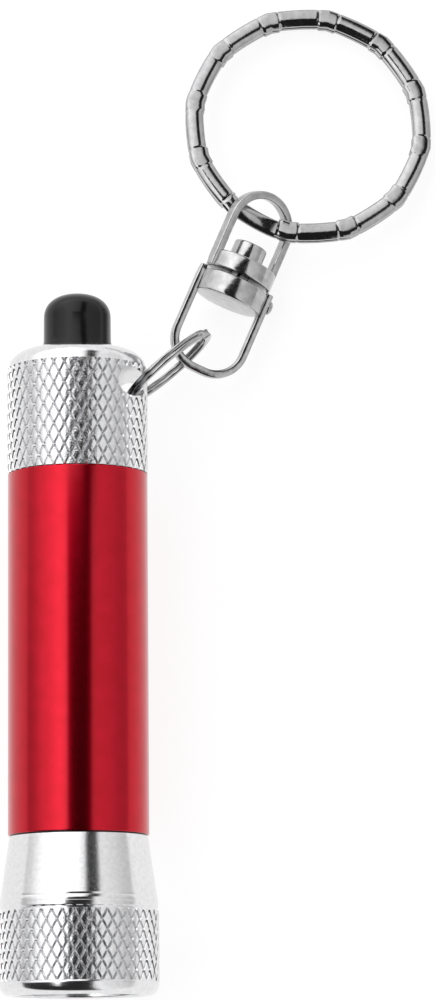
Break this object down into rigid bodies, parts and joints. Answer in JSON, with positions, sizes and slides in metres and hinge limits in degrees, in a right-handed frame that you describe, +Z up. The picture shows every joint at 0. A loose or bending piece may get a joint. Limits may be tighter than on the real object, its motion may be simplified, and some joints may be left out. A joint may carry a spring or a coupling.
{
  "type": "keychain flashlight",
  "caption": "Pocket flashlight with a red tubular barrel, knurled bright metal head and tail cap, rubber push button, and a swivel chain to a faceted split key ring.",
  "frame": {"origin": "on the table under the middle of the whole object's box, with the flashlight lying on its side", "axes": "+Z up from the table; +Y along the flashlight from its lens to its button; +X towards the side where the chain lies"},
  "size_m": [0.0446, 0.1022, 0.0159],
  "materials": {
    "red_anodised": "bright red anodised aluminium, satin gloss",
    "polished_aluminium": "bright turned and diamond-knurled aluminium",
    "bright_plating": "nickel-plated steel, polished",
    "zinc_casting": "nickel-plated zinc casting, polished with soft edges",
    "black_rubber": "black moulded rubber, soft sheen",
    "clear_plastic": "clear acrylic",
    "reflector_plating": "vacuum-metallised plastic",
    "led_epoxy": "clear epoxy",
    "circuit_board": "green solder mask",
    "cell_steel": "nickel-plated steel can",
    "sleeve_plastic": "thin white plastic tube",
    "switch_plastic": "black moulded plastic",
    "spring_steel": "plated spring wire",
    "contact_brass": "bright brass"
  },
  "bodies": {
    "barrel": {"barrel": "red_anodised", "cell_sleeve": "sleeve_plastic", "cell_1": "cell_steel", "cell_2": "cell_steel", "cell_3": "cell_steel", "cell_4": "cell_steel", "rear_spring": "spring_steel", "contact_plate": "contact_brass", "switch_housing": "switch_plastic", "return_spring": "spring_steel", "tail_cap": "polished_aluminium", "head_seal": "black_rubber"},
    "head_gasket": {"lens_gasket": "black_rubber"},
    "head": {"head_bezel": "polished_aluminium", "lens": "clear_plastic", "reflector": "reflector_plating", "led_1": "led_epoxy", "led_2": "led_epoxy", "led_3": "led_epoxy", "led_board": "circuit_board", "board_retainer": "contact_brass", "board_spring": "spring_steel"},
    "button": {"button": "black_rubber", "switch_plunger": "switch_plastic"},
    "small_ring": {"small_ring": "bright_plating"},
    "lower_bail": {"lower_bail": "zinc_casting", "swivel_pin": "zinc_casting"},
    "upper_bail": {"upper_bail": "zinc_casting"},
    "key_ring": {"key_ring": "bright_plating"}
  },
  "joints": [
    {"name": "head_travel", "type": "slide", "parent": "barrel", "child": "head_gasket", "axis": [0, -1, 0], "range_m": [0, 0.003]},
    {"name": "head_unscrew", "type": "hinge", "parent": "head_gasket", "child": "head", "pos_m": [-0.01436, -0.0431, 0.00795], "axis": [0, -1, 0], "range_deg": [0, 1080]},
    {"name": "button_press", "type": "slide", "parent": "barrel", "child": "button", "axis": [0, -1, 0], "range_m": [0, 0.0015], "stiffness_N_per_m": 500, "springref_m": -0.0016, "deforming": ["return_spring"]},
    {"name": "ring_in_cap", "type": "hinge", "parent": "barrel", "child": "small_ring", "pos_m": [-0.00906, 0.0096, 0.00795], "axis": [0, 0, 1], "range_deg": [-30, 6]},
    {"name": "bail_on_ring", "type": "hinge", "parent": "small_ring", "child": "lower_bail", "pos_m": [-0.00311, 0.01338, 0.00395], "axis": [0, 0, 1], "range_deg": [-30, 25]},
    {"name": "swivel", "type": "hinge", "parent": "lower_bail", "child": "upper_bail", "pos_m": [0.00179, 0.02154, 0.00375], "axis": [0.3987, 0.9171, 0], "continuous": true},
    {"name": "key_ring_turn", "type": "hinge", "parent": "upper_bail", "child": "key_ring", "pos_m": [0.00939, 0.0382, 0.00242], "axis": [0.0648, 0.1073, 0.9921], "continuous": true}
  ],
  "couplings": [
    {"joint": "head_unscrew", "follows": "head_travel", "rad_per_m": 6283.2}
  ]
}
